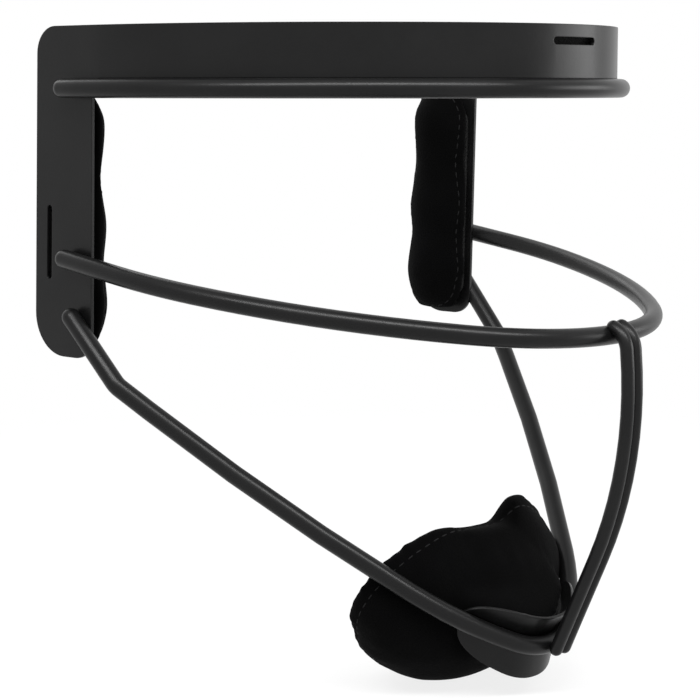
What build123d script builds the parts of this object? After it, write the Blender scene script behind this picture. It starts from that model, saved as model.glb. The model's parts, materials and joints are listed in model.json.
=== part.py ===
from build123d import *
import os
from math import acos, atan2, cos, degrees, hypot, radians, sin, sqrt, tan

# Softball face guard, in millimetres. +Z is up, the guard looks along -Y and
# +X is the wearer's left. While the pieces are drawn, Z is zero at the bottom
# of the brow wire, and Y is zero where the curved band runs into the straight
# temple legs. At the end they all move so that the origin is the centre of
# the guard's box.

# Band and temple legs, one stamping of sheet steel
gauge = 1.0
half_breadth = 82.1
brow_radius = 59.5
brow_turn = 32.4
band_top = 19.4
leg_foot = -70.8
leg_front_top = -1.3
leg_front_foot = 0.8
leg_rear_top = 20.9
leg_rear_foot = 24.1
crown_corner = 7.5
throat_corner = 3.0
toe_corner = 6.5
heel_corner = 11.5

# Slots for a strap of 19 mm webbing
slot_length = 20.4
slot_width = 2.0
temple_slot_back = 17.3
temple_slot_height = -39.4
brow_slot_length = 18.0
brow_slot_drop = 4.4

# Guard wires, with their coat of paint. The radii of their bends are those of a
# guard of this half breadth, and spread with it.
wire_radius = 2.6
bend_breadth = 82.1
land = 0.5
brow_tip_back = 10.2

# Face wire: it starts square across the nose and is bent three times a side.
# The radius of the middle bend follows from the breadth between the legs.
face_front = -113.0
face_height = -62.1
face_slope = 8.75
face_turns = (41.1, 31.8)
face_front_radius = 62.6
face_side_radius = 89.1056
face_tip_back = 10.6

# Jaw wire: one bent wire from leg to chin to leg
jaw_front = -93.3
jaw_height = -149.3
jaw_slope = 41.1
jaw_turns = (35.6, 19.1, 10.0)
jaw_radii = (19.7, 94.6, 490.0)
jaw_knee_inside = 2.1
jaw_knee_radius = 7.0
jaw_tip_back = 7.6
jaw_tip_height = -57.4

# Two thinner rods side by side between the face wire and the chin
rod_radius = 1.65
bow_radius = 110.0
bow_front = -119.9
bow_height = -77.0
bow_rise = 3.6
top_radius = 15.0
top_turn = 31.0
hook_turn = 18.0

# Chin plate, welded inside the jaw wire
plate_gauge = 0.8
plate_half_width = 21.0
plate_rise = 6.5
plate_drop = 18.0
plate_side_drop = 9.0
plate_corner = 6.0

# Hook tape on the steel, loop tape on the pads
hook_depth = 1.0
loop_depth = 1.0
tape_gap = 0.3
tape_margin = 2.5
tape_corner = 3.0

# Pads: foam under a fabric skin
skin = 1.2
temple_pad_top = -2.6
temple_pad_foot = -69.2
temple_pad_edge = 2.6
temple_pad_crown = 9.4
brow_pad_depth = 9.0
brow_pad_bevel = 4.5
brow_pad_margin = 0.8
brow_pad_foot = 1.8
brow_pad_side_turn = 16.0
cup_back = -58.2
cup_height = -136.2
cup_tilt = 32.1
cup_half_width = 39.3
cup_half_height = 27.8
cup_depth = 24.7
cup_wall = 10.5
cup_skew_share = 0.144
notch_radius = 83.0
notch_floor = -118.5

# Depths of the cup's rings, as shares of its whole depth, and flats round it
bowl_shares = (0.0, 0.34, 0.6, 0.8, 0.93, 0.99)
cup_sides = 24
crown_sides = 6

# Height, width and crown of the temple pad down its length, as shares
lobe_shares = (
    (0.00, 0.62, 0.50),
    (0.09, 0.93, 0.93),
    (0.27, 0.88, 0.86),
    (0.47, 1.00, 1.00),
    (0.63, 0.94, 0.90),
    (0.82, 1.00, 1.00),
    (0.94, 0.86, 0.84),
    (1.00, 0.58, 0.45),
)

# Rods have this many flats round them, and tips that close in two steps
rod_sides = 12
tip_length_share = 0.8
tip_tapers = (20.0, 50.0)

# How far a cut runs past what it cuts
overrun = 3.0

# The side bend of the band is the one that closes its plan
side_turn = 90.0 - brow_turn
side_radius = (half_breadth - brow_radius * sin(radians(brow_turn))) / (1 - sin(radians(brow_turn)))
brow_reach = brow_radius * (1 - cos(radians(brow_turn))) + side_radius * cos(radians(brow_turn))
leg_lean = degrees(atan2(leg_rear_foot - leg_rear_top, band_top - leg_foot))
band_low = 2 * wire_radius
leg_wire_x = half_breadth + wire_radius
spread = half_breadth / bend_breadth
rod_stand = wire_radius + rod_radius
half_flat = 180.0 / rod_sides
tip_step_share = tip_length_share / len(tip_tapers)

pieces = {}


def keep(name, label):
    """Name a finished piece, and hold it until all are drawn."""
    name.part.label = label
    pieces[label] = name


def brow_strip(outer, inner, turn):
    """Plan of a strip that follows the band, between two depths inside its outer face."""
    with BuildSketch() as strip:
        with BuildLine():
            outer_front = JernArc((0, outer - brow_reach), (1, 0), brow_radius - outer, brow_turn)
            outer_side = JernArc(outer_front @ 1, outer_front % 1, side_radius - outer, turn)
            inner_front = JernArc((0, inner - brow_reach), (1, 0), brow_radius - inner, brow_turn)
            inner_side = JernArc(inner_front @ 1, inner_front % 1, side_radius - inner, turn)
            Line(outer_side @ 1, inner_side @ 1)
            Line(outer_front @ 0, inner_front @ 0)
        make_face()
        mirror(about=Plane.YZ)
    return strip.sketch


def bend_corners(turns, radii):
    """Corners of a flat half wire that starts square across the guard, and where its last bend ends."""
    x, y, heading, reach = 0, 0, 0, 0
    corners = []
    for turn, radius in zip(turns, radii):
        next_reach = radius * tan(radians(turn) / 2)
        step = reach + land + next_reach
        x += step * cos(radians(heading))
        y += step * sin(radians(heading))
        corners.append((x, y))
        heading += turn
        reach = next_reach
    end = (x + reach * cos(radians(heading)), y + reach * sin(radians(heading)))
    return corners, end, heading


def wire_plane(front, height, slope):
    """Plane of a bent wire that climbs towards the back."""
    rise = radians(slope)
    return Plane(origin=(0, front, height), x_dir=(1, 0, 0), z_dir=(0, -sin(rise), cos(rise)))


def both_sides(half):
    """A half wire's points, from the right tip to the left one."""
    return [Vector(-p.X, p.Y, p.Z) for p in reversed(half)] + half


def guard_rod(path, radius, flat_way):
    """Rod along a path, with flats that touch the wire's round, one of them facing flat_way at the start."""
    with BuildPart() as rod:
        with BuildSketch(Plane(origin=path @ 0, x_dir=flat_way, z_dir=path % 0)):
            RegularPolygon(radius, rod_sides, major_radius=False, rotation=half_flat)
        sweep(path=path)
        for tip, outward in ((path @ 0, -(path % 0)), (path @ 1, path % 1)):
            for taper in tip_tapers:
                end = rod.faces().filter_by(GeomType.PLANE).sort_by_distance(tip)[0]
                extrude(end, amount=radius * tip_step_share, taper=taper)
                tip += outward * radius * tip_step_share
    return rod.part


def carried(way, before, after):
    """A direction across a wire, carried round the bend from one heading to the next."""
    return way.rotate(Axis((0, 0, 0), before.cross(after)), before.get_angle(after))


# Band and temple legs
with BuildPart() as brow_band:
    with BuildSketch(Plane.XY.offset(leg_foot)):
        add(brow_strip(0, gauge, side_turn))
        with Locations((half_breadth - gauge / 2, leg_rear_foot / 2), (gauge / 2 - half_breadth, leg_rear_foot / 2)):
            Rectangle(gauge, leg_rear_foot)
    extrude(amount=band_top - leg_foot)
    with BuildSketch(Plane.YZ):
        with BuildLine():
            FilletPolyline(
                (-brow_reach - overrun, band_low),
                (leg_front_top, band_low),
                (leg_front_foot, leg_foot),
                (leg_rear_foot, leg_foot),
                (leg_rear_top, band_top),
                (-brow_reach - overrun, band_top),
                radius=[0, throat_corner, toe_corner, heel_corner, crown_corner, 0],
                close=True,
            )
        make_face()
    extrude(amount=half_breadth + overrun, both=True, mode=Mode.INTERSECT)
    with BuildSketch(Plane.YZ):
        with Locations(Location((temple_slot_back, temple_slot_height), 90.0 + leg_lean)):
            SlotOverall(slot_length, slot_width)
    extrude(amount=half_breadth + overrun, both=True, mode=Mode.SUBTRACT)
    with BuildSketch(Plane.XZ):
        with Locations((0, band_top - brow_slot_drop)):
            SlotOverall(brow_slot_length, slot_width)
    extrude(amount=brow_reach + overrun, mode=Mode.SUBTRACT)
keep(brow_band, "brow_band")

# Brow wire: under the band's edge at the front, outside the legs at its ends
turn_sin, turn_cos = sin(radians(brow_turn)), cos(radians(brow_turn))
wire_front_radius = (leg_wire_x * turn_cos - brow_reach * (1 - turn_sin)) / (turn_sin + turn_cos - 1)
wire_side_radius = (brow_reach * turn_sin - leg_wire_x * (1 - turn_cos)) / (turn_sin + turn_cos - 1)
with BuildLine(Plane.XY.offset(wire_radius)) as brow_line:
    front = JernArc((0, -brow_reach), (1, 0), wire_front_radius, brow_turn)
    side = JernArc(front @ 1, front % 1, wire_side_radius, side_turn)
    Line(side @ 1, (leg_wire_x, brow_tip_back - wire_radius * tip_length_share))
    mirror(about=Plane.YZ)
with BuildPart() as brow_wire:
    add(guard_rod(brow_line.wires()[0], wire_radius, (0, 0, 1)))
keep(brow_wire, "brow_wire")

# Face wire, from leg to leg in front of the cheeks and nose
face_plane = wire_plane(face_front, face_height, face_slope)
first_sin, second_sin = sin(radians(face_turns[0])), sin(radians(sum(face_turns)))
lands = land * (1 + cos(radians(face_turns[0])) + cos(radians(sum(face_turns))))
face_front_bend, face_side_bend = face_front_radius * spread, face_side_radius * spread
middle_breadth = leg_wire_x - lands - face_front_bend * first_sin - face_side_bend * (1 - second_sin)
face_radii = (face_front_bend, middle_breadth / (second_sin - first_sin), face_side_bend)
face_corners, face_end, face_heading = bend_corners((*face_turns, 90.0 - sum(face_turns)), face_radii)
face_tip_place = (face_tip_back - face_front) / cos(radians(face_slope)) - wire_radius * tip_length_share
face_half = [face_plane.from_local_coords(corner) for corner in (*face_corners, (leg_wire_x, face_tip_place))]
with BuildLine() as face_line:
    FilletPolyline(*both_sides(face_half), radius=[*face_radii[::-1], *face_radii])
with BuildPart() as face_wire:
    add(guard_rod(face_line.wires()[0], wire_radius, (1, 0, 0)))
keep(face_wire, "face_wire")

# Jaw wire, from the foot of one leg round the chin to the other
jaw_plane = wire_plane(jaw_front, jaw_height, jaw_slope)
chin_radius, cheek_radius, side_bend_radius = [radius * spread for radius in jaw_radii]
jaw_bends = [chin_radius, cheek_radius, side_bend_radius, jaw_knee_radius]
jaw_corners, jaw_end, jaw_heading = bend_corners(jaw_turns, jaw_bends)
knee_x = leg_wire_x - jaw_knee_inside
knee_y = jaw_end[1] + (knee_x - jaw_end[0]) * tan(radians(jaw_heading))
jaw_half = [jaw_plane.from_local_coords(corner) for corner in jaw_corners]
jaw_half.append(jaw_plane.from_local_coords((knee_x, knee_y)))
jaw_tip = Vector(leg_wire_x, jaw_tip_back, jaw_tip_height)
jaw_half.append(jaw_tip - (jaw_tip - jaw_half[-1]).normalized() * wire_radius * tip_length_share)
with BuildLine() as jaw_line:
    FilletPolyline(*both_sides(jaw_half), radius=jaw_bends[::-1] + jaw_bends)
jaw_points = both_sides(jaw_half)
tip_way, jaw_way = [jaw_points[i + 1] - jaw_points[i] for i in range(2)]
jaw_flat = carried(jaw_plane.z_dir, jaw_way, tip_way)
with BuildPart() as jaw_wire:
    add(guard_rod(jaw_line.wires()[0], wire_radius, jaw_flat))
    add(brow_band.part, mode=Mode.SUBTRACT)
keep(jaw_wire, "jaw_wire")

# Two uprights: each bends back to the face wire, bows forward, runs straight and hooks round the jaw wire
bow_centre = (bow_front + bow_radius, bow_height)
top_centre = (
    bow_centre[0] - (bow_radius - top_radius) * cos(radians(bow_rise)),
    bow_centre[1] + (bow_radius - top_radius) * sin(radians(bow_rise)),
)
chin_gap = (jaw_front - bow_centre[0], jaw_height - bow_centre[1])
hook_lean = degrees(atan2(-chin_gap[1], -chin_gap[0]) - acos((bow_radius - rod_stand) / hypot(*chin_gap)))
for rod_name, rod_x in (("right_upright", -rod_radius), ("left_upright", rod_radius)):
    with BuildLine(Plane.YZ.offset(rod_x)) as rod_line:
        top = CenterArc(top_centre, top_radius, 180.0 - bow_rise - top_turn, top_turn)
        bow = CenterArc(bow_centre, bow_radius, 180.0 - bow_rise, bow_rise + hook_lean)
        hook = CenterArc((jaw_front, jaw_height), rod_stand, 180.0 + hook_lean, hook_turn)
        Line(bow @ 1, hook @ 0)
    with BuildPart() as upright:
        add(guard_rod(rod_line.wires()[0], rod_radius, (1, 0, 0)))
        add(face_wire.part, mode=Mode.SUBTRACT)
        add(jaw_wire.part, mode=Mode.SUBTRACT)
    keep(upright, rod_name)

# Chin plate and what lies on it follow the jaw wire's inner side
chin_plane = Plane(origin=jaw_plane.origin, x_dir=(1, 0, 0), z_dir=-jaw_plane.y_dir)
plate_face = wire_radius + plate_gauge
hook_face = plate_face + hook_depth
loop_face = hook_face + tape_gap


def chin_strip(outer, inner, margin):
    """Curved strip behind the jaw wire, between two depths, cut to the plate's outline less a margin."""
    half = plate_half_width - margin
    side = margin - plate_side_drop
    with BuildPart() as strip:
        with BuildSketch(jaw_plane):
            with BuildLine():
                ends = []
                for inset in (outer, inner):
                    flat = Line((0, inset), (land, inset))
                    tight = JernArc(flat @ 1, (1, 0), chin_radius - inset, jaw_turns[0])
                    step = Line(tight @ 1, (tight @ 1) + (tight % 1) * land)
                    wide = JernArc(step @ 1, step % 1, cheek_radius - inset, jaw_turns[1])
                    ends.append(wide @ 1)
                Line((0, outer), (0, inner))
                Line(*ends)
            make_face()
            mirror(about=Plane.YZ)
        extrude(amount=plate_drop + plate_rise, both=True)
        with BuildSketch(chin_plane):
            with BuildLine():
                ThreePointArc((-half, side), (0, margin - plate_drop), (half, side))
                FilletPolyline(
                    (-half, side),
                    (-half, plate_rise - margin),
                    (half, plate_rise - margin),
                    (half, side),
                    radius=plate_corner,
                )
            make_face()
        extrude(amount=brow_reach, both=True, mode=Mode.INTERSECT)
    return strip.part


with BuildPart() as chin_plate:
    add(chin_strip(wire_radius, plate_face, 0))
keep(chin_plate, "chin_plate")
with BuildPart() as chin_hook_patch:
    add(chin_strip(plate_face, hook_face, tape_margin))
keep(chin_hook_patch, "chin_hook_patch")
with BuildPart() as chin_pad_backing:
    add(chin_strip(loop_face, loop_face + loop_depth, tape_margin))
keep(chin_pad_backing, "chin_pad_backing")


def flat_sided(rings):
    """Solid with flat faces, from ring to ring of as many points each, closed at both ends."""
    faces = [Face(Wire.make_polygon(rings[0])), Face(Wire.make_polygon(rings[-1]))]
    for low, high in zip(rings, rings[1:]):
        for i in range(len(low)):
            corners = (low[i - 1], low[i], high[i], high[i - 1])
            faces.append(Face(Wire.make_polygon(corners[:3])))
            faces.append(Face(Wire.make_polygon((corners[0], corners[2], corners[3]))))
    return Solid(Shell(faces))


def bowl(inset, start):
    """Solid bowl, the cup's shape shrunk all round by an inset, from a plane that stands a start off the rim's."""
    depth = cup_depth - inset
    rings = []
    for share in bowl_shares:
        level = start + (depth - start) * share
        size_share = sqrt(1 - (max(level, 0) / depth) ** 2)
        across = (cup_half_width - inset) * size_share
        along = (cup_half_height - inset) * size_share
        turns = [radians(360.0 * side / cup_sides) for side in range(cup_sides)]
        places = [(across * cos(turn), along * sin(turn) - cup_skew_share * level, level) for turn in turns]
        rings.append([cup_plane.from_local_coords(place) for place in places])
    return flat_sided(rings)


def chin_boss(inset):
    """Block that reaches from the loop tape back into the cup, as wide and high as the tape."""
    half = plate_half_width - tape_margin - inset
    low = tape_margin + inset - plate_drop
    side = tape_margin + inset - plate_side_drop
    high = plate_rise - tape_margin - inset
    with BuildPart() as boss:
        with BuildSketch(jaw_plane):
            with BuildLine():
                flat = Line((0, cup_seat), (land, cup_seat))
                tight = JernArc(flat @ 1, (1, 0), chin_radius - cup_seat, jaw_turns[0])
                step = Line(tight @ 1, (tight @ 1) + (tight % 1) * land)
                wide = JernArc(step @ 1, step % 1, cheek_radius - cup_seat, jaw_turns[1])
                Polyline(wide @ 1, (0, (wide @ 1).Y), (0, cup_seat))
            make_face()
            mirror(about=Plane.YZ)
        extrude(amount=plate_drop + plate_rise, both=True)
        with BuildSketch(chin_plane):
            with BuildLine():
                ThreePointArc((-half, side), (0, low), (half, side))
                Polyline((-half, side), (-half, high), (half, high), (half, side))
            make_face()
        extrude(amount=brow_reach, both=True, mode=Mode.INTERSECT)
    return boss.part


def chin_cup(inset):
    """Cup under the chin, open behind, with a notch in its rim and a boss that reaches the loop tape."""
    boss = chin_boss(inset)
    outside = bowl(inset, inset)
    hollow = bowl(cup_wall - inset, -overrun)
    with BuildPart() as cup:
        add(boss)
        add(outside)
        add(plate_room, mode=Mode.SUBTRACT)
        add(hollow, mode=Mode.SUBTRACT)
        with Locations(Location((0, cup_back, notch_floor + notch_radius), (90, 0, 0))):
            Cylinder(notch_radius + inset, cup_half_width * 2, mode=Mode.SUBTRACT)
    return cup.part


cup_seat = loop_face + loop_depth
cup_plane = Plane(
    origin=(0, cup_back, cup_height),
    x_dir=(1, 0, 0),
    z_dir=(0, -cos(radians(cup_tilt)), -sin(radians(cup_tilt))),
)
plate_room = chin_strip(0, cup_seat, -tape_gap)
with BuildPart() as chin_pad_foam:
    add(chin_cup(skin))
keep(chin_pad_foam, "chin_pad_foam")
with BuildPart() as chin_pad_cover:
    add(chin_cup(0))
    add(chin_pad_foam.part, mode=Mode.SUBTRACT)
keep(chin_pad_cover, "chin_pad_cover")


def leg_front(height):
    """Front edge of a temple leg at a height."""
    share = (band_low - height) / (band_low - leg_foot)
    return leg_front_top + share * (leg_front_foot - leg_front_top)


def leg_rear(height):
    """Rear edge of a temple leg at a height."""
    share = (band_top - height) / (band_top - leg_foot)
    return leg_rear_top + share * (leg_rear_foot - leg_rear_top)


def leg_sheet(depth, thickness, top, foot, margin, rear_margin):
    """Thin sheet on the inside of the left leg, a depth below the leg's outer face."""
    with BuildPart() as sheet:
        with BuildSketch(Plane.YZ.offset(half_breadth - depth - thickness)):
            with BuildLine():
                FilletPolyline(
                    (leg_front(top) + margin, top),
                    (leg_front(foot) + margin, foot),
                    (leg_rear(foot) - rear_margin, foot),
                    (leg_rear(top) - rear_margin, top),
                    radius=tape_corner,
                    close=True,
                )
            make_face()
        extrude(amount=thickness)
    return sheet.part


def temple_pad(inset):
    """Lobed, crowned pad for the left leg, through level sections."""
    back = half_breadth - pad_seat
    top = temple_pad_top - inset
    length = top - (temple_pad_foot + inset)
    rings = []
    for height_share, width_share, crown_share in lobe_shares:
        height = top - height_share * length
        middle = (leg_front(height) + leg_rear(height)) / 2
        half = (leg_rear(height) - leg_front(height)) / 2 * width_share - inset
        edge = temple_pad_edge * crown_share
        rise = (temple_pad_crown - inset) * crown_share - edge
        shares = [2 * side / crown_sides - 1 for side in range(crown_sides + 1)]
        ring = [Vector(back - edge - rise * (1 - share**2), middle + half * share, height) for share in shares]
        rings.append([Vector(back, middle - half, height), *ring, Vector(back, middle + half, height)])
    return flat_sided(rings)


pad_seat = gauge + hook_depth + tape_gap + loop_depth
tape_top = temple_pad_top - tape_margin
tape_foot = temple_pad_foot + 2 * tape_margin
slot_clear = leg_rear(temple_slot_height) - temple_slot_back + slot_width
left_hook = leg_sheet(gauge, hook_depth, tape_top, tape_foot, tape_margin, slot_clear)
left_loop = leg_sheet(pad_seat - loop_depth, loop_depth, tape_top, tape_foot, tape_margin, tape_margin)
left_foam = temple_pad(skin)
left_cover = temple_pad(0)
left_solids = {"hook_strip": left_hook, "pad_backing": left_loop, "pad_foam": left_foam, "pad_cover": left_cover}
for side in ("left", "right"):
    for name, solid in left_solids.items():
        with BuildPart() as temple_piece:
            add(solid)
            if name == "pad_cover":
                add(left_foam, mode=Mode.SUBTRACT)
            if side == "right":
                mirror(about=Plane.YZ, mode=Mode.REPLACE)
        keep(temple_piece, f"{side}_temple_{name}")


def brow_sheet(outer, inner, turn, low, high):
    """Upright strip that follows the band, between two depths and two heights."""
    strip = brow_strip(outer, inner, turn)
    with BuildPart() as sheet:
        with BuildSketch(Plane.XY.offset(low)):
            add(strip)
        extrude(amount=high - low)
    return sheet.part


def brow_pad(inset):
    """Forehead pad: a strip whose inner edges are bevelled."""
    inner = pad_seat + brow_pad_depth - inset
    turn = brow_pad_side_turn - degrees(inset / side_radius)
    low = brow_pad_foot + inset
    high = band_top - brow_pad_margin - inset
    inner_radii = (brow_radius - inner, side_radius - inner)
    body = brow_sheet(pad_seat, inner, turn, low, high)
    with BuildPart() as pad:
        add(body)
        rims = pad.edges().filter_by(GeomType.CIRCLE)
        rims = rims.filter_by(lambda edge: min(abs(edge.radius - radius) for radius in inner_radii) < skin)
        chamfer(rims, brow_pad_bevel - inset * (2 - sqrt(2)))
    return pad.part


brow_tape_turn = brow_pad_side_turn - degrees(tape_margin / side_radius)
brow_tape_low = band_low + tape_margin
brow_tape_high = band_top - brow_slot_drop - slot_width
with BuildPart() as forehead_hook_strip:
    add(brow_sheet(gauge, gauge + hook_depth, brow_tape_turn, brow_tape_low, brow_tape_high))
keep(forehead_hook_strip, "forehead_hook_strip")
with BuildPart() as forehead_pad_backing:
    add(brow_sheet(pad_seat - loop_depth, pad_seat, brow_tape_turn, brow_tape_low, band_top - tape_margin))
keep(forehead_pad_backing, "forehead_pad_backing")
with BuildPart() as forehead_pad_foam:
    add(brow_pad(skin))
keep(forehead_pad_foam, "forehead_pad_foam")
with BuildPart() as forehead_pad_cover:
    add(brow_pad(0))
    add(forehead_pad_foam.part, mode=Mode.SUBTRACT)
keep(forehead_pad_cover, "forehead_pad_cover")

# The origin goes to the centre of the guard's box, and each piece to its file
box = brow_band.part.bounding_box()
for piece in pieces.values():
    box = box.add(piece.part.bounding_box())
centre = (box.min + box.max) / 2
print("centre", centre, "size", box.size)
os.makedirs("parts", exist_ok=True)
for label, piece in pieces.items():
    piece.part.locate(Location(-centre))
    export_step(piece.part, f"parts/{label}.step")
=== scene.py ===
# %% [markdown]
# # A softball face guard
# The real guard is a stamped steel band, some bent wires and four black pads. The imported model
# gives every piece its size and place, and this script loads it as a fixed frame. What is left to
# make here is what the eye judges: round wires, rounded rims, the satin coat on the steel, and soft
# pads with their fabric and seams.

# %% Load the frame
import json
import math

import bmesh
import bpy
from mathutils import Matrix, Vector


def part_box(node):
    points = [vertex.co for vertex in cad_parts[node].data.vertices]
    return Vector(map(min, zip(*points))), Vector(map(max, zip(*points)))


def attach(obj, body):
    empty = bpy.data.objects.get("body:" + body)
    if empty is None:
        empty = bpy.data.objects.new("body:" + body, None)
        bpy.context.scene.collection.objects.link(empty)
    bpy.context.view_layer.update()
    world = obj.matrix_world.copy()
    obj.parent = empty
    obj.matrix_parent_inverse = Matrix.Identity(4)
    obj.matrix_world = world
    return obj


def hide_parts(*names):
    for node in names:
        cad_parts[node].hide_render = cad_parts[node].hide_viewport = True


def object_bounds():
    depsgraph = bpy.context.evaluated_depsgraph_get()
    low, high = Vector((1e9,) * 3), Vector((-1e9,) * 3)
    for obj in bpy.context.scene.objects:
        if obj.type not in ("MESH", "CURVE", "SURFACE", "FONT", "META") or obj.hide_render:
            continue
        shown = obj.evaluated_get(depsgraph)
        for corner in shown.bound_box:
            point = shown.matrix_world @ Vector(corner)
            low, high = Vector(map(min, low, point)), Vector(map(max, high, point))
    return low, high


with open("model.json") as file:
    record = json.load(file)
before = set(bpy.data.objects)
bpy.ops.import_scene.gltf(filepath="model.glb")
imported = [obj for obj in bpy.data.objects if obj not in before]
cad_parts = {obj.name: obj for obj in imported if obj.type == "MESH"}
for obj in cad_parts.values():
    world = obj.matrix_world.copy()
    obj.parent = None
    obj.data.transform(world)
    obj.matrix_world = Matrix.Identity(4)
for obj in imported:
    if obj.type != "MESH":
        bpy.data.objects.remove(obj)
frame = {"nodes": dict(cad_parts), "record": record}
nodes = frame["nodes"]
cad_low, cad_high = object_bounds()
mm = 0.001
scene = bpy.context.scene
print("guard", [round(side / mm, 1) for side in cad_high - cad_low], "mm")


def placed(name, data):
    """An object for a mesh, a lamp or a camera, linked into the scene."""
    item = bpy.data.objects.new(name, data)
    scene.collection.objects.link(item)
    return item


# %% [markdown]
# ## The camera
# The photograph is taken from a little above, in front of the guard's right side, with a long lens.
# The camera is placed by the turn and the fall of its line of sight, by the point that it looks at,
# and by its distance. These can be set one at a time, which typed coordinates can't.

# %% Place the camera
aim = Vector((0, 28.93, -1.14)) * mm
view_turn = math.radians(47.84)
view_fall = math.radians(7.0)
view_distance = 625.9 * mm
camera_data = bpy.data.cameras.new("camera")
camera_data.lens = 109.43
camera_data.sensor_width = 36.0
camera_data.clip_start = 0.01
camera = placed("camera", camera_data)
level = math.cos(view_fall)
sight = Vector((math.sin(view_turn) * level, math.cos(view_turn) * level, -math.sin(view_fall)))
camera.location = aim - sight * view_distance
camera.rotation_mode = "QUATERNION"
camera.rotation_quaternion = sight.to_track_quat("-Z", "Y")
scene.camera = camera
print("camera at", [round(v / mm, 1) for v in camera.location], "mm")

# %% [markdown]
# ## Small helpers for materials
# Every finish here starts from one Principled shader. A helper that adds a node, sets its sockets
# and links it keeps each material short enough to read.


# %% Material helpers
def fresh_material(name):
    """A material with only a Principled shader and an output."""
    material = bpy.data.materials.new(name)
    material.use_nodes = True
    tree = material.node_tree
    return material, tree, tree.nodes["Principled BSDF"]


def fill(tree, node, inputs):
    """Give a node's inputs plain values, or link other nodes' outputs to them."""
    for name, source in inputs.items():
        socket = node.inputs[name]
        if isinstance(source, bpy.types.NodeSocket):
            tree.links.new(source, socket)
        else:
            socket.default_value = source


def add_node(tree, kind, inputs, **settings):
    """A new node with its settings and inputs."""
    node = tree.nodes.new(kind)
    for key, value in settings.items():
        setattr(node, key, value)
    fill(tree, node, inputs)
    return node


def calculated(tree, operation, first, second):
    """One sum on two values."""
    return add_node(tree, "ShaderNodeMath", {0: first, 1: second}, operation=operation).outputs["Value"]


def ramp(tree, source, low, high, low_value, high_value):
    """A value that runs from low_value to high_value while the source runs from low to high."""
    span = {"From Min": low, "From Max": high, "To Min": low_value, "To Max": high_value}
    return add_node(tree, "ShaderNodeMapRange", {"Value": source, **span}).outputs["Result"]


def noise(tree, place, scale, detail):
    """A cloudy pattern."""
    inputs = {"Vector": place, "Scale": scale, "Detail": detail}
    return add_node(tree, "ShaderNodeTexNoise", inputs).outputs["Fac"]


def two_tones(tree, source, stops, colors):
    """A colour that goes from the first to the second while the source goes between the stops."""
    tone = add_node(tree, "ShaderNodeValToRGB", {"Fac": source})
    for element, stop, color in zip(tone.color_ramp.elements, stops, colors):
        element.position = stop
        element.color = (*color, 1)
    return tone.outputs["Color"]


def bumped(tree, height, strength, depth, under=None):
    """A normal that a height pattern disturbs, on top of another normal where one is given."""
    inputs = {"Height": height, "Strength": strength, "Distance": depth}
    if under is not None:
        inputs["Normal"] = under
    return add_node(tree, "ShaderNodeBump", inputs).outputs["Normal"]


# %% [markdown]
# ## Powder coat
# The steel is powder coated in satin black. Baked powder has a faint orange-peel surface, is a touch
# rougher in some places than in others, and rounds every stamped edge. The peel is a fine bump, the
# roughness wanders with a slow noise, and a Bevel node rounds the edges for the light.

# %% Powder coat
coat_tones = ((0.0032, 0.0032, 0.0033), (0.0050, 0.0050, 0.0051))
coat_roughness = (0.28, 0.35)
coat_stops = (0.3, 0.7)
coat_edge = 0.35 * mm
peel_scale, grit_scale, drift_scale = 1300.0, 5200.0, 42.0


def powder_coat():
    """Satin black powder coat."""
    material, tree, shader = fresh_material("satin_powder_coat")
    place = add_node(tree, "ShaderNodeTexCoord", {}).outputs["Object"]
    rounded = add_node(tree, "ShaderNodeBevel", {"Radius": coat_edge}, samples=6).outputs["Normal"]
    grains = noise(tree, place, grit_scale, detail=1.0)
    waves = noise(tree, place, peel_scale, detail=2.0)
    drift = noise(tree, place, drift_scale, detail=3.0)
    grit = bumped(tree, grains, strength=0.12, depth=0.02 * mm, under=rounded)
    peel = bumped(tree, waves, strength=0.3, depth=0.05 * mm, under=grit)
    coat = {
        "Base Color": two_tones(tree, drift, coat_stops, coat_tones),
        "Roughness": ramp(tree, drift, *coat_stops, *coat_roughness),
        "Specular IOR Level": 0.18,
        "Normal": peel,
    }
    fill(tree, shader, coat)
    return material


steel_finish = powder_coat()

# %% [markdown]
# ## Knit fabric
# The pads are covered in a black brushed knit. It drinks nearly all light: a very dark colour, a
# high roughness, little specular, a soft sheen from the brushed fibres, and a fine bump of loops
# less than a millimetre apart.

# %% Knit fabric
knit_tones = ((0.0006, 0.0006, 0.0006), (0.0012, 0.0012, 0.0013))
knit_stops = (0.3, 0.75)
loop_scale, fuzz_scale, wear_scale = 1500.0, 4200.0, 60.0


def knit_fabric():
    """Black brushed knit."""
    material, tree, shader = fresh_material("brushed_knit")
    place = add_node(tree, "ShaderNodeTexCoord", {}).outputs["Object"]
    cells = {"Vector": place, "Scale": loop_scale}
    loops = add_node(tree, "ShaderNodeTexVoronoi", cells, feature="SMOOTH_F1").outputs["Distance"]
    looped = bumped(tree, loops, strength=0.5, depth=0.15 * mm)
    fuzz = noise(tree, place, fuzz_scale, detail=4.0)
    wear = noise(tree, place, wear_scale, detail=3.0)
    knit = {
        "Base Color": two_tones(tree, wear, knit_stops, knit_tones),
        "Roughness": 0.95,
        "Specular IOR Level": 0.03,
        "Sheen Weight": 0.008,
        "Sheen Roughness": 0.5,
        "Normal": bumped(tree, fuzz, strength=0.35, depth=0.08 * mm, under=looped),
    }
    fill(tree, shader, knit)
    return material


pad_finish = knit_fabric()

# %% [markdown]
# ## Hook tape, loop tape, thread and foam
# The tapes are woven nylon with a nap, so they are a little lighter and coarser than the knit.
# Thread is smoother and catches a thin light. Foam hardly shows. One recipe with other numbers
# makes all four.

# %% Tape, thread and foam
textile_shades = (0.7, 1.3)
cloud_share = 0.2


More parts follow.
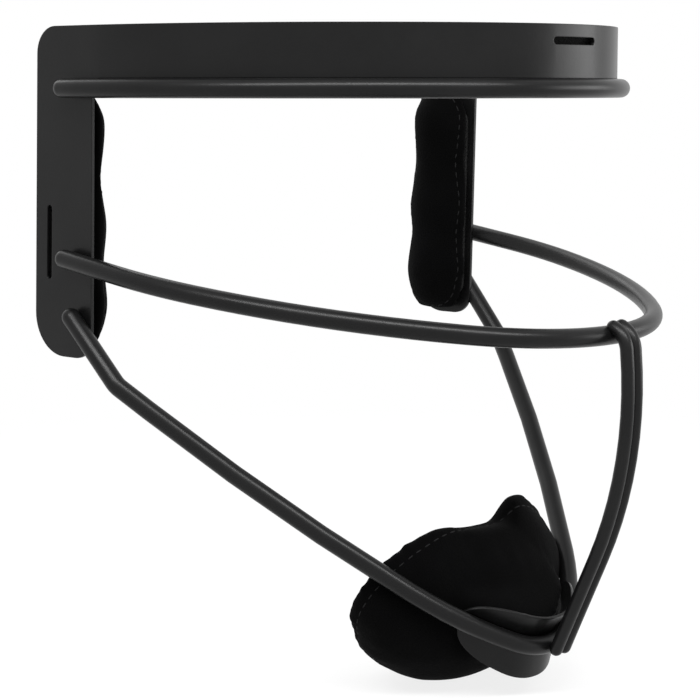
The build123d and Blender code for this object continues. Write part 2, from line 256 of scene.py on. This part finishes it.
def plain_textile(name, color, roughness, grain, depth, specular):
    """A matte textile whose nap is a bump of one grain."""
    material, tree, shader = fresh_material(name)
    place = add_node(tree, "ShaderNodeTexCoord", {}).outputs["Object"]
    cells = {"Vector": place, "Scale": 1 / grain}
    nap = add_node(tree, "ShaderNodeTexVoronoi", cells).outputs["Distance"]
    cloud = noise(tree, place, cloud_share / grain, detail=2.0)
    tones = [[shade * part for part in color] for shade in textile_shades]
    textile = {
        "Base Color": two_tones(tree, cloud, (0.0, 1.0), tones),
        "Roughness": roughness,
        "Specular IOR Level": specular,
        "Normal": bumped(tree, nap, strength=0.8, depth=depth),
    }
    fill(tree, shader, textile)
    return material


hook_finish = plain_textile(
    "hook_tape", (0.008, 0.008, 0.008), roughness=0.8, grain=0.9 * mm, depth=0.4 * mm, specular=0.25
)
loop_finish = plain_textile(
    "loop_tape", (0.006, 0.006, 0.006), roughness=0.95, grain=0.6 * mm, depth=0.3 * mm, specular=0.1
)
foam_finish = plain_textile(
    "pad_foam", (0.01, 0.01, 0.01), roughness=0.95, grain=0.5 * mm, depth=0.1 * mm, specular=0.1
)
thread_finish = plain_textile(
    "thread", (0.004, 0.004, 0.0042), roughness=0.7, grain=0.15 * mm, depth=0.05 * mm, specular=0.12
)

# %% [markdown]
# ## Finishes on the model's own pieces
# The hook strips and the pads' backings are small flat pieces that need no new shape, so the model's
# own are shown. Each node gets the finish that the model's record gives it.

# %% Give the nodes their finishes
finishes = {
    "powder_coat": steel_finish,
    "hook_tape": hook_finish,
    "loop_tape": loop_finish,
    "pad_foam": foam_finish,
    "pad_fabric": pad_finish,
}
node_slots = {row["node"]: row["material_slot"] for row in frame["record"]["subparts"]}
for name, node in nodes.items():
    node.data.materials.clear()
    node.data.materials.append(finishes[node_slots[name]])
print(len(nodes), "nodes have one of", sorted(finishes))

# %% [markdown]
# ## Round wires
# Each guard wire of the real thing is one length of round rod, bent on a machine that feeds it
# straight and then turns it round a die. A curve object with a bevel would give the same line, but
# a ring of points that is extruded along each straight and spun round each die keeps clean rings,
# and ends in a dome. The model's own wires have flats, so these round ones stand in for them along
# the same line. Places are given in millimetres from a point on the guard's plane of symmetry.

# %% Sizes of the guard, as its steel is bent
wire_low, wire_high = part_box("brow_wire")
band_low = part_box("brow_band")[0]
wire_radius = (wire_high.z - wire_low.z) / 2
leg_wire_x = wire_high.x - wire_radius
brow_reach = 100.61
brow_bends = ((32.4, 65.28), (57.6, 107.11))
face_bends = ((41.1, 62.6), (31.8, 129.3))
jaw_bends = ((35.6, 19.7), (19.1, 94.6), (10.0, 490.0))
land = 0.5 * mm
merge_gap = 0.001 * mm
shortest_run = 0.01 * mm
zero = Vector((0, band_low.y + brow_reach * mm, wire_low.z))
print("wire", round(2 * wire_radius / mm, 2), "mm thick, drawn from", [round(v / mm, 2) for v in zero])


# %% Bend a wire
def only(geometry, kind):
    """The parts of one kind among what an operator gives back."""
    return [part for part in geometry if isinstance(part, kind)]


def extruded(bm, edges):
    """Grow a ring from a ring of edges, and give the new points and edges."""
    grown = bmesh.ops.extrude_edge_only(bm, edges=edges)["geom"]
    return only(grown, bmesh.types.BMVert), only(grown, bmesh.types.BMEdge)


def dome(bm, edges, place, heading, radius, steps=5, least=0.001):
    """Close a ring with a rounded end."""
    for step in range(steps):
        before = math.radians(90.0 * step / steps)
        after = math.radians(90.0 * (step + 1) / steps)
        ring, edges = extruded(bm, edges)
        along = heading * radius * (math.sin(after) - math.sin(before))
        bmesh.ops.translate(bm, verts=ring, vec=along)
        shrink = max(math.cos(after) / math.cos(before), least)
        middle = place + heading * radius * math.sin(after)
        bmesh.ops.scale(bm, verts=ring, vec=(shrink,) * 3, space=Matrix.Translation(-middle))
    bmesh.ops.pointmerge(bm, verts=ring, merge_co=place + heading * radius)


def bend_wire(bm, corners, radii, radius, round_start=False, sides=28, step_angle=3.0):
    """A round wire from corner to corner, bent at each corner to its own radius, in an empty bmesh."""
    place = corners[0].copy()
    heading = (corners[1] - place).normalized()
    facing = Matrix.Translation(place) @ heading.to_track_quat("Z", "X").to_matrix().to_4x4()
    bmesh.ops.create_circle(bm, segments=sides, radius=radius, matrix=facing, cap_ends=False)
    edges = bm.edges[:]
    if round_start:
        dome(bm, edges, place, -heading, radius)
    for index, corner in enumerate(corners[1:]):
        gap = (corner - place).length
        last = index == len(corners) - 2
        if not last:
            after = (corners[index + 2] - corner).normalized()
            turn = heading.angle(after)
            gap -= radii[index] * math.tan(turn / 2)
        if gap > shortest_run:
            ring, edges = extruded(bm, edges)
            bmesh.ops.translate(bm, verts=ring, vec=heading * gap)
            place = place + heading * gap
        if not last:
            axis = heading.cross(after).normalized()
            centre = place + axis.cross(heading) * radii[index]
            steps = max(2, round(math.degrees(turn) / step_angle))
            spun = bmesh.ops.spin(
                bm, geom=edges, cent=centre, axis=axis, angle=turn, steps=steps, use_duplicate=False
            )
            edges = only(spun["geom_last"], bmesh.types.BMEdge)
            place = centre + Matrix.Rotation(turn, 3, axis) @ (place - centre)
            heading = after
    dome(bm, edges, place, heading, radius)


def piece_from(bm, name, finish, body):
    """Turn a bmesh into a smooth object that rides on a body."""
    bmesh.ops.remove_doubles(bm, verts=bm.verts, dist=merge_gap)
    bmesh.ops.recalc_face_normals(bm, faces=bm.faces)
    for face in bm.faces:
        face.smooth = True
    mesh = bpy.data.meshes.new(name)
    bm.to_mesh(mesh)
    bm.free()
    mesh.materials.append(finish)
    piece = placed(name, mesh)
    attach(piece, body)
    print(name, len(mesh.polygons), "faces")
    return piece


# %% [markdown]
# ## Brow, face and jaw wires
# Each guard wire lies in a plane, which is level at the brow and climbs towards the back lower down.
# Only the tips of the jaw wire leave its plane. Half a wire is drawn from the nose to the left tip, by
# the turn and the radius of each bend, and then mirrored, so both halves are sure to be the same.


# %% Guard wires
def flat_corners(bends, straight):
    """Corners of a flat half wire that starts square across the nose, and where its last bend ends."""
    x, y, heading, reach = 0.0, 0.0, 0.0, 0.0
    corners = []
    for turn, radius in bends:
        next_reach = radius * mm * math.tan(math.radians(turn) / 2)
        step = reach + straight + next_reach
        x += step * math.cos(heading)
        y += step * math.sin(heading)
        corners.append(Vector((x, y, 0)))
        heading += math.radians(turn)
        reach = next_reach
    end = Vector((x + reach * math.cos(heading), y + reach * math.sin(heading), 0))
    return corners, end, heading


def set_in(corners, front, height, slope):
    """The nose and the corners of a wire's own plane, set in the guard."""
    rise = math.radians(slope)
    start = zero + Vector((0, front, height)) * mm
    flat = (Vector((0, 0, 0)), *corners)
    return [start + Vector((c.x, c.y * math.cos(rise), c.y * math.sin(rise))) for c in flat]


def guard_wire(name, half, radii):
    """One wire from tip to tip, that stands in for the node of its name."""
    bm = bmesh.new()
    bend_wire(bm, half, [radius * mm for radius in radii], wire_radius)
    every_part = bm.verts[:] + bm.edges[:] + bm.faces[:]
    bmesh.ops.mirror(bm, geom=every_part, axis="X", merge_dist=merge_gap)
    wire = piece_from(bm, f"round_{name}", steel_finish, "frame")
    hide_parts(name)


wire_half = wire_radius / mm
brow_tip = 10.2
brow_place = (-brow_reach, wire_half, 0.0)
corners, end, heading = flat_corners(brow_bends, 0.0)
corners.append(Vector((leg_wire_x, (brow_tip - wire_half + brow_reach) * mm, 0)))
guard_wire("brow_wire", set_in(corners, *brow_place), [radius for turn, radius in brow_bends])

face_tip = 10.6
face_place = (-113.0, -62.1, 8.75)
corners, end, heading = flat_corners(face_bends, land)
closing = (leg_wire_x - end.x - land * math.cos(heading)) / (1 - math.sin(heading)) / mm
all_bends = (*face_bends, (90.0 - math.degrees(heading), closing))
corners, end, heading = flat_corners(all_bends, land)
face_length = (face_tip - face_place[0]) / math.cos(math.radians(face_place[2])) - wire_half
corners.append(Vector((leg_wire_x, face_length * mm, 0)))
guard_wire("face_wire", set_in(corners, *face_place), [radius for turn, radius in all_bends])

jaw_place = (-93.3, -149.3, 41.1)
knee_inset, knee_radius = 2.1, 7.0
jaw_tip = zero + Vector((leg_wire_x / mm, 7.6, -57.4)) * mm
corners, end, heading = flat_corners(jaw_bends, land)
knee_x = leg_wire_x - knee_inset * mm
corners.append(Vector((knee_x, end.y + (knee_x - end.x) * math.tan(heading), 0)))
jaw_half = set_in(corners, *jaw_place)
jaw_half.append(jaw_tip - (jaw_tip - jaw_half[-1]).normalized() * wire_radius)
guard_wire("jaw_wire", jaw_half, [radius for turn, radius in jaw_bends] + [knee_radius])

# %% [markdown]
# ## Uprights
# Two thinner rods stand side by side. Each is bent back over the face wire at its top, bows forward,
# and runs straight down to the front of the jaw wire. An arc is given here by the corner where its
# two tangents meet, so the bender that made the guard wires makes the rods too.


# %% Uprights
def arc_corner(centre, radius, start, end):
    """Where the tangents at the ends of an arc meet, in the guard's plane of symmetry."""
    middle = math.radians((start + end) / 2)
    out = radius / math.cos(math.radians((end - start) / 2))
    return Vector((0, centre[0] + out * math.cos(middle), centre[1] + out * math.sin(middle)))


def arc_point(centre, radius, angle):
    """A point of such an arc."""
    return arc_corner(centre, radius, angle, angle)


rod_radius, rod_spread, rod_seat = 1.82, 1.84, 1.65
rod_stand = wire_half + rod_seat
bow_centre, bow_radius, bow_rise = (-9.9, -77.0), 110.2, 6.0
top_radius, top_turn = 7.0, 62.0
foot_gap = 1.5
top_reach = bow_radius - top_radius
top_centre = (
    bow_centre[0] - top_reach * math.cos(math.radians(bow_rise)),
    bow_centre[1] + top_reach * math.sin(math.radians(bow_rise)),
)
chin = jaw_place[:2]
gap = (chin[0] - bow_centre[0], chin[1] - bow_centre[1])
lean = math.atan2(-gap[1], -gap[0]) - math.acos((bow_radius - rod_stand) / math.hypot(*gap))
top_end = 180.0 - bow_rise
foot_angle = 180.0 + math.degrees(lean)
rod_path = [
    arc_point(top_centre, top_radius, top_end - top_turn),
    arc_corner(top_centre, top_radius, top_end - top_turn, top_end),
    arc_corner(bow_centre, bow_radius, top_end, foot_angle),
    arc_point(chin, rod_stand, foot_angle) + Vector((0, -math.sin(lean), math.cos(lean))) * foot_gap,
]
rod_bends = [top_radius * mm, bow_radius * mm]
for name, x in (("right_upright", -rod_spread), ("left_upright", rod_spread)):
    bm = bmesh.new()
    path = [zero + (corner + Vector((x, 0, 0))) * mm for corner in rod_path]
    bend_wire(bm, path, rod_bends, rod_radius * mm, round_start=True, sides=24)
    rod = piece_from(bm, f"round_{name}", steel_finish, "frame")
    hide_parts(name)

# %% [markdown]
# ## Chin plate and its hook patch
# Behind the jaw wire sits a plate with round corners, cut from sheet and bent to the wire's inner
# side. It starts as a flat grid whose square is drawn out to a rounded outline. Each point is then
# set as far back as the wire's bends are there, and the Solidify modifier gives the gauge. The patch
# of hook tape on its inner face is bent in the same way.

# %% Chin plate
plate_middle = -3.6
plate_half, plate_up, plate_down = 22.6, 12.0, 8.6
plate_roundness = 3.0
plate_hang = math.radians(12.0)
plate_gauge = 0.8
patch_up, patch_down = 7.0, 6.0
patch_gauge = 0.8
jaw_rise = math.radians(jaw_place[2])


def plate_depth(x, inset):
    """How far the plate stands behind the jaw wire's foremost line, at a place across it."""
    place, depth, heading = land / mm, inset, 0.0
    for turn, radius in jaw_bends[:2]:
        bend, after = radius - inset, heading + math.radians(turn)
        far = place + bend * (math.sin(after) - math.sin(heading))
        if x <= place:
            return depth
        if x <= far:
            angle = math.asin(math.sin(heading) + (x - place) / bend)
            return depth + bend * (math.cos(heading) - math.cos(angle))
        depth += bend * (math.cos(heading) - math.cos(after)) + land / mm * math.sin(after)
        place = far + land / mm * math.cos(after)
        heading = after
    return depth + (x - place) * math.tan(heading)


def rounded_off(x, y):
    """Where a point of a square goes when the square is drawn out to a rounded outline."""
    u = x * math.sqrt(1 - y**2 / 2)
    v = y * math.sqrt(1 - x**2 / 2)
    turn = math.atan2(v, u)
    spread = abs(math.cos(turn)) ** plate_roundness + abs(math.sin(turn)) ** plate_roundness
    reach = spread ** (-1 / plate_roundness)
    return u * reach, v * reach


def bent_sheet(node, finish, slot, half, up_reach, down_reach, inset, gauge):
    """A round-cornered sheet bent to the jaw wire's inner side, that stands in for a node."""
    bm = bmesh.new()
    bmesh.ops.create_grid(bm, x_segments=40, y_segments=32, size=1.0)
    for vert in bm.verts:
        u, v = rounded_off(vert.co.x, vert.co.y)
        across = u * half
        up = plate_middle + v * (up_reach if v > 0 else down_reach)
        lean_back = jaw_rise if up > 0 else plate_hang
        back = plate_depth(abs(across), inset + gauge / 2)
        y = jaw_place[0] - up * math.sin(lean_back) + back * math.cos(jaw_rise)
        z = jaw_place[1] + up * math.cos(lean_back) + back * math.sin(jaw_rise)
        vert.co = zero + mm * Vector((across, y, z))
    piece = piece_from(bm, f"curved_{node}", finish, "frame")
    sheet = piece.modifiers.new("sheet", "SOLIDIFY")
    sheet.thickness = gauge * mm
    sheet.offset = 0.0
    rims = piece.modifiers.new("rims", "BEVEL")
    rims.width = 0.2 * mm
    rims.segments = 2
    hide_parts(node)


plate_size = (plate_half, plate_up, plate_down)
patch_size = (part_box("chin_hook_patch")[1].x / mm, patch_up, patch_down)
patch_inset = wire_half + plate_gauge
bent_sheet("chin_plate", steel_finish, "powder_coat", *plate_size, wire_half, plate_gauge)
bent_sheet("chin_hook_patch", hook_finish, "hook_tape", *patch_size, patch_inset, patch_gauge)

# %% [markdown]
# ## Band with rounded rims
# The band and its two legs are one stamping. Its rims are sheared and then tumbled, so they catch a
# thin line of light. The node's own mesh is loose triangles and stays as it is: a copy is merged,
# its flat parts are made whole faces, and the sharp rims get a real bevel.


# %% Band
def stamped(name, rim, flat_angle=0.5, rim_angle=40.0):
    """A merged copy of a sheet node, with its sheared rims rounded."""
    bm = bmesh.new()
    bm.from_mesh(nodes[name].data)
    bmesh.ops.remove_doubles(bm, verts=bm.verts, dist=2 * merge_gap)
    flat = math.radians(flat_angle)
    bmesh.ops.dissolve_limit(bm, angle_limit=flat, verts=bm.verts, edges=bm.edges)
    joined = [edge for edge in bm.edges if len(edge.link_faces) == 2]
    rims = [edge for edge in joined if edge.calc_face_angle() > math.radians(rim_angle)]
    bmesh.ops.bevel(
        bm,
        geom=rims,
        offset=rim,
        offset_type="OFFSET",
        segments=3,
        profile=0.5,
        affect="EDGES",
        material=-1,
        clamp_overlap=True,
    )
    for face in bm.faces:
        face.smooth = True
    mesh = bpy.data.meshes.new(name)
    bm.to_mesh(mesh)
    bm.free()
    mesh.materials.append(steel_finish)
    piece = placed(f"rounded_{name}", mesh)
    even_light = piece.modifiers.new("even light", "WEIGHTED_NORMAL")
    even_light.keep_sharp = True
    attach(piece, "frame")
    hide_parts(name)
    print(name, len(rims), "rim edges rounded")


stamped("brow_band", 0.3 * mm)

# %% [markdown]
# ## Soft pads
# A pad is a foam core in a sewn fabric cover. A plain block with rounded edges would look hard, so
# each pad starts from its solid in the model, is remeshed into even small squares, given its lobes
# or horns, relaxed until no flat is left, and then blown up a little as cloth. The temple pads'
# backs are held fast on their tapes. No point may move more than a millimetre as the cloth swells.


# %% Turn a solid into even cloth
def settled(piece):
    """The mesh of a piece with its modifiers applied."""
    bpy.context.view_layer.update()
    graph = bpy.context.evaluated_depsgraph_get()
    mesh = bpy.data.meshes.new_from_object(piece.evaluated_get(graph))
    piece.modifiers.clear()
    piece.data = mesh
    return mesh


def remeshed(name, voxel):
    """An even mesh round a pad's cover and foam together."""
    bm = bmesh.new()
    for part in ("cover", "foam"):
        bm.from_mesh(nodes[f"{name}_{part}"].data)
    bmesh.ops.remove_doubles(bm, verts=bm.verts, dist=merge_gap)
    mesh = bpy.data.meshes.new(f"{name}_cushion")
    bm.to_mesh(mesh)
    bm.free()
    piece = placed(f"{name}_cushion", mesh)
    remesh = piece.modifiers.new("voxels", "REMESH")
    remesh.mode = "VOXEL"
    remesh.voxel_size = voxel
    settled(piece)
    return piece


def relaxed(piece, rounds, held):
    """Smooth a mesh without moving the points that are held."""
    bm = bmesh.new()
    bm.from_mesh(piece.data)
    soft = [vert for vert in bm.verts if not held(vert.co)]
    every_axis = {"use_axis_x": True, "use_axis_y": True, "use_axis_z": True}
    for _ in range(rounds):
        bmesh.ops.smooth_vert(bm, verts=soft, factor=0.5, **every_axis)
    bm.to_mesh(piece.data)
    bm.free()


def grown(piece, amount, held):
    """Push every free point out along its normal, to make up for what relaxing took away."""
    mesh = piece.data
    normals = [vert.normal.copy() for vert in mesh.vertices]
    for vert, normal in zip(mesh.vertices, normals):
        if not held(vert.co):
            vert.co += normal * amount


def puffed(piece, held, pressure, cap, scale=20.0, last_frame=20):
    """Blow the piece up as cloth, cap every move, and keep the result in its mesh."""
    mesh = piece.data
    start = [vert.co.copy() for vert in mesh.vertices]
    pins = piece.vertex_groups.new(name="held")
    pins.add([vert.index for vert in mesh.vertices if held(vert.co)], 1.0, "REPLACE")
    for vert in mesh.vertices:
        vert.co *= scale
    cloth = piece.modifiers.new("cloth", "CLOTH")
    cloth.settings.quality = 5
    cloth.settings.mass = 0.2
    cloth.settings.tension_stiffness = 12.0
    cloth.settings.compression_stiffness = 12.0
    cloth.settings.bending_stiffness = 0.4
    cloth.settings.use_pressure = True
    cloth.settings.uniform_pressure_force = pressure
    cloth.settings.vertex_group_mass = "held"
    cloth.settings.effector_weights.gravity = 0.0
    cloth.collision_settings.use_collision = False
    for step in range(1, last_frame + 1):
        scene.frame_set(step)
    graph = bpy.context.evaluated_depsgraph_get()
    blown = [vert.co / scale for vert in piece.evaluated_get(graph).data.vertices]
    piece.modifiers.clear()
    scene.frame_set(1)
    most = 0.0
    for vert, before, after in zip(mesh.vertices, start, blown):
        move = after - before
        most = max(most, move.length)
        if move.length > cap:
            move *= cap / move.length
        vert.co = before + move
    print(piece.name, len(mesh.vertices), "points, most move", round(most / mm, 2), "mm before the cap")


def subdivided(piece):
    """One round of subdivision, kept in the mesh."""
    finer = piece.modifiers.new("finer", "SUBSURF")
    finer.levels = 1
    finer.render_levels = 1
    mesh = settled(piece)
    for face in mesh.polygons:
        face.use_smooth = True


def islands(mesh):
    """How many loose parts a mesh has."""
    bm = bmesh.new()
    bm.from_mesh(mesh)
    left = set(bm.verts)
    count = 0
    while left:
        count += 1
        stack = [left.pop()]
        while stack:
            for edge in stack.pop().link_edges:
                for vert in edge.verts:
                    if vert in left:
                        left.remove(vert)
                        stack.append(vert)
    bm.free()
    return count


# %% [markdown]
# ## Seams and stitches
# A sewn seam runs round each pad where its cover meets its back, or along its edges. A plane that
# cuts the cushion gives the seam's line. The points near the line are pressed in, and thread
# stitches, each a thin long ball of a few dozen faces, lie along it.


# %% Seams
def traced(edges):
    """The lines that a cut's edges make, each with its points and their normals in order."""
    lines = []
    left = dict.fromkeys(edges)
    while left:
        line = []
        edge = next(iter(left))
        del left[edge]
        vert = edge.verts[0]
        while edge:
            line.append((vert.co.copy(), vert.normal.copy()))
            vert = edge.other_vert(vert)
            nexts = [other for other in vert.link_edges if other in left]
            edge = nexts[0] if nexts else None
            left.pop(edge, None)
        line.append((vert.co.copy(), vert.normal.copy()))
        lines.append(line)
    return lines


def sewn(piece, planes, keep, depth=0.25 * mm, width=0.9 * mm, shortest=30):
    """Press a seam into the piece where planes cut it, and give the seams' lines."""
    mesh = piece.data
    lines = []
    for place, normal in planes:
        bm = bmesh.new()
        bm.from_mesh(mesh)
        every_part = bm.verts[:] + bm.edges[:] + bm.faces[:]
        cut = bmesh.ops.bisect_plane(bm, geom=every_part, plane_co=place, plane_no=normal)
        chains = traced(only(cut["geom_cut"], bmesh.types.BMEdge))
        lines += [line for line in chains if len(line) > shortest]
        bm.free()
    normals = [vert.normal.copy() for vert in mesh.vertices]
    for vert, own in zip(mesh.vertices, normals):
        for place, normal in planes:
            if keep(own):
                away = (vert.co - place).dot(normal) / width
                vert.co -= own * depth * math.exp(-away * away)
    return lines


def stitched(name, body, lines, keep, step=3.1 * mm, length=2.1 * mm, thread=0.24 * mm, sink=0.35 * mm):
    """A row of thread stitches along each line."""
    bm = bmesh.new()
    count = 0
    stretch = Matrix.Diagonal((thread, thread, length / 2, 1))
    for line in lines:
        walked, next_stitch = 0.0, step / 2
        for (start, normal), (end, _) in zip(line, line[1:]):
            run = (end - start).length
            while run > 0 and walked + run >= next_stitch:
                middle = start.lerp(end, (next_stitch - walked) / run) - normal * sink
                next_stitch += step
                if keep(normal):
                    turn = (end - start).to_track_quat("Z", "X").to_matrix().to_4x4()
                    stitch = Matrix.Translation(middle) @ turn @ stretch
                    bmesh.ops.create_uvsphere(bm, u_segments=8, v_segments=6, radius=1.0, matrix=stitch)
                    count += 1
            walked += run
    row = piece_from(bm, name, thread_finish, body)
    print(name, count, "stitches")


# %% A cushion, step by step
def cushion(name, shape, held, seams, seam_side, voxel, rounds, grow, cap, pressure=4.0):
    """One soft pad, that stands in for its cover and foam."""
    piece = remeshed(name, voxel)
    print(name, len(piece.data.vertices), "points in", islands(piece.data), "part")
    for vert in piece.data.vertices:
        vert.co = shape(vert.co)
    relaxed(piece, rounds, held)
    grown(piece, grow, held)
    puffed(piece, held, pressure, cap)
    subdivided(piece)
    lines = sewn(piece, seams, seam_side)
    stitched(f"{name}_stitches", name, lines, seam_side)
    piece.data.materials.clear()
    piece.data.materials.append(pad_finish)
    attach(piece, name)
    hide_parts(f"{name}_cover", f"{name}_foam")


def soft_step(share):
    """A share from 0 to 1, eased at both ends."""
    share = min(max(share, 0.0), 1.0)
    return share * share * (3 - 2 * share)


def nowhere(point):
    """No point is held."""
    return False


def anywhere(normal):
    """A seam that runs all round."""
    return True


# %% [markdown]
# ## Temple pads
# Seen from the front, a temple pad swells and draws in three times on its way down, and its top
# reaches up behind the brow wire. The swells are shares of the solid's thickness at shares of its
# height, read off the two silhouettes, with an eased curve between them.

# %% Temple pads
temple_low, temple_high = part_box("left_temple_pad_cover")
temple_back = temple_high.x
temple_height = temple_high.z - temple_low.z
swells = (
    (-0.02, 0.80),
    (0.12, 0.85),
    (0.32, 0.66),
    (0.50, 0.83),
    (0.62, 0.78),
    (0.82, 0.91),
    (1.02, 0.68),
)
lift_reach, lift_share = 4.0 * mm, 0.3
temple_hold = 0.9 * mm
temple_seam = 2.9 * mm


def temple_shape(point):
    """Swell the temple pad as its lobes do, and carry its top up behind the brow wire."""
    share = (temple_high.z - point.z) / temple_height
    for (low, low_swell), (high, high_swell) in zip(swells, swells[1:]):
        if low <= share <= high:
            swell = low_swell + (high_swell - low_swell) * soft_step((share - low) / (high - low))
    side = math.copysign(1.0, point.x)
    depth = (temple_back - abs(point.x)) * swell
    lift = lift_reach * soft_step((lift_share - share) / lift_share)
    return Vector((side * (temple_back - depth), point.y, point.z + lift))


def temple_held(point):
    """Whether a point is on the back of a temple pad."""
    return abs(point.x) > temple_back - temple_hold


for side, name in ((1, "left_temple_pad"), (-1, "right_temple_pad")):
    cushion(
        name,
        shape=temple_shape,
        held=temple_held,
        seams=[(Vector((side * (temple_back - temple_seam), 0, 0)), Vector((1, 0, 0)))],
        seam_side=anywhere,
        voxel=1.1 * mm,
        rounds=8,
        grow=0.25 * mm,
        cap=1.0 * mm,
    )

# %% [markdown]
# ## Chin pad
# The chin pad is a cup with a soft rim. Hand-sewn foam is never quite even: the left horn of its rim
# stands up to a tip, and the right wing spreads out and back. The solid is even, so these moves are
# given here. Each is a move in millimetres, and eases in past a start, over a span, along the height
# and across.

# %% Chin pad
cup_tilt = math.radians(32.1)
rim_place = zero + Vector((0, -58.2, -136.2)) * mm
rim_normal = Vector((0, math.cos(cup_tilt), math.sin(cup_tilt)))
rim_seam = 3.0 * mm
left_tip_move = Vector((-4.6, 0.5, 5.0))
right_horn_move = Vector((0, 0.2, 0))
right_wing_move = Vector((-2.0, 2.0, 0))
bottom_move = Vector((0, 0, 0.8))
horn_height, bottom_depth = (-128.0, 12.0), (150.0, 8.0)
wing_foot, wing_head = (-148.0, 12.0), (113.0, 8.0)
left_tip_side, right_horn_side, right_wing_side = (3.0, 13.0), (4.0, 14.0), (6.0, 14.0)


def past(value, start, span):
    """How far a value is past a start, as an eased share of a span."""
    return soft_step((value - start) / span)


def chin_shape(point):
    """Raise the left horn of the chin cup to a tip, spread its right wing, and lift its bottom."""
    height = (point - zero).z / mm
    across = point.x / mm
    high = past(height, *horn_height)
    move = bottom_move * past(-height, *bottom_depth)
    if across > 0:
        move += left_tip_move * high * past(across, *left_tip_side)
    else:
        wing = past(height, *wing_foot) * past(-height, *wing_head)
        move += right_wing_move * wing * past(-across, *right_wing_side)
        move += right_horn_move * high * past(-across, *right_horn_side)
    return point + move * mm


cushion(
    "chin_pad",
    shape=chin_shape,
    held=nowhere,
    seams=[(rim_place - rim_normal * rim_seam, rim_normal)],
    seam_side=anywhere,
    voxel=1.4 * mm,
    rounds=5,
    grow=0.9 * mm,
    cap=1.0 * mm,
)

# %% [markdown]
# ## Forehead pad
# The forehead pad is a plain long strip along the inside of the band. Its two seams run along its
# upper and lower edge, on the side that faces the wearer.

# %% Forehead pad
brow_low, brow_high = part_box("forehead_pad_cover")
brow_seam = 3.2 * mm
least_facing = 0.3


def as_it_is(point):
    """No change of shape."""
    return point


def wearer_side(normal):
    """Whether a normal faces the wearer."""
    return normal.y > least_facing


cushion(
    "forehead_pad",
    shape=as_it_is,
    held=nowhere,
    seams=[
        (Vector((0, 0, z)), Vector((0, 0, 1))) for z in (brow_low.z + brow_seam, brow_high.z - brow_seam)
    ],
    seam_side=wearer_side,
    voxel=1.1 * mm,
    rounds=6,
    grow=0.3 * mm,
    cap=0.8 * mm,
)

# %% [markdown]
# ## Floor, backdrop and light
# The guard stands on a white sweep under soft lamps. The floor and the world show white to the
# camera and to reflections, and light the guard at a lower level, so that its black stays black.
# Near the guard the floor keeps a share of plain shading, which holds the shadow. The lamps draw
# thin lights along the wires.


# %% Rays that show the background
def shows_background(tree):
    """1 for a ray that shows the background: seen straight, in a reflection or through glass."""
    rays = add_node(tree, "ShaderNodeLightPath", {}).outputs
    seen = calculated(tree, "MAXIMUM", rays["Is Camera Ray"], rays["Is Glossy Ray"])
    return calculated(tree, "MAXIMUM", seen, rays["Is Transmission Ray"])


# %% Floor
floor_size = 6.0
shadow_reach = (0.1, 0.5)
white_shares = (0.82, 1.0)
floor_mesh = bpy.data.meshes.new("floor")
floor_bm = bmesh.new()
bmesh.ops.create_grid(floor_bm, x_segments=1, y_segments=1, size=floor_size)
bmesh.ops.translate(floor_bm, verts=floor_bm.verts, vec=(0, 0, cad_low.z))
floor_bm.to_mesh(floor_mesh)
floor_bm.free()
floor = placed("floor", floor_mesh)
floor_material, floor_tree, floor_shader = fresh_material("white_floor")
fill(floor_tree, floor_shader, {"Base Color": (0.9, 0.9, 0.9, 1), "Roughness": 0.9})
floor_place = add_node(floor_tree, "ShaderNodeTexCoord", {}).outputs["Object"]
away = add_node(floor_tree, "ShaderNodeVectorMath", {0: floor_place}, operation="LENGTH")
white_share = ramp(floor_tree, away.outputs["Value"], *shadow_reach, *white_shares)
share = calculated(floor_tree, "MULTIPLY", shows_background(floor_tree), white_share)
glow = add_node(floor_tree, "ShaderNodeEmission", {"Color": (1, 1, 1, 1), "Strength": 1.0})
both = {0: share, 1: floor_shader.outputs["BSDF"], 2: glow.outputs["Emission"]}
blend = add_node(floor_tree, "ShaderNodeMixShader", both)
fill(floor_tree, floor_tree.nodes["Material Output"], {"Surface": blend.outputs["Shader"]})
floor_mesh.materials.append(floor_material)
print("floor at", round(cad_low.z / mm, 2), "mm")

# %% World
lit_level, seen_level = 0.5, 1.0
world = bpy.data.worlds.new("studio")
scene.world = world
world.use_nodes = True
world_tree = world.node_tree
world_tree.nodes.clear()
strength = ramp(world_tree, shows_background(world_tree), 0.0, 1.0, lit_level, seen_level)
sky = add_node(world_tree, "ShaderNodeBackground", {"Color": (1, 1, 1, 1), "Strength": strength})
add_node(world_tree, "ShaderNodeOutputWorld", {"Surface": sky.outputs["Background"]})
scene.view_settings.view_transform = "Standard"
print("world lights at", lit_level, "and shows at", seen_level)


# %% Lamps
def soft_lamp(name, place, width, height, power):
    """An area lamp that looks at the guard."""
    data = bpy.data.lights.new(name, "AREA")
    data.shape = "RECTANGLE"
    data.size = width
    data.size_y = height
    data.energy = power
    lamp = placed(name, data)
    lamp.location = place
    lamp.rotation_mode = "QUATERNION"
    lamp.rotation_quaternion = (aim - Vector(place)).to_track_quat("-Z", "Y")
    print(name, power, "W")


soft_lamp("key_lamp", (-0.65, -0.75, 1.25), width=2.4, height=0.3, power=48.0)
soft_lamp("side_lamp", (1.25, -0.95, 0.05), width=1.0, height=0.9, power=12.0)
soft_lamp("back_lamp", (0.3, 1.2, 0.9), width=0.9, height=0.9, power=5.0)
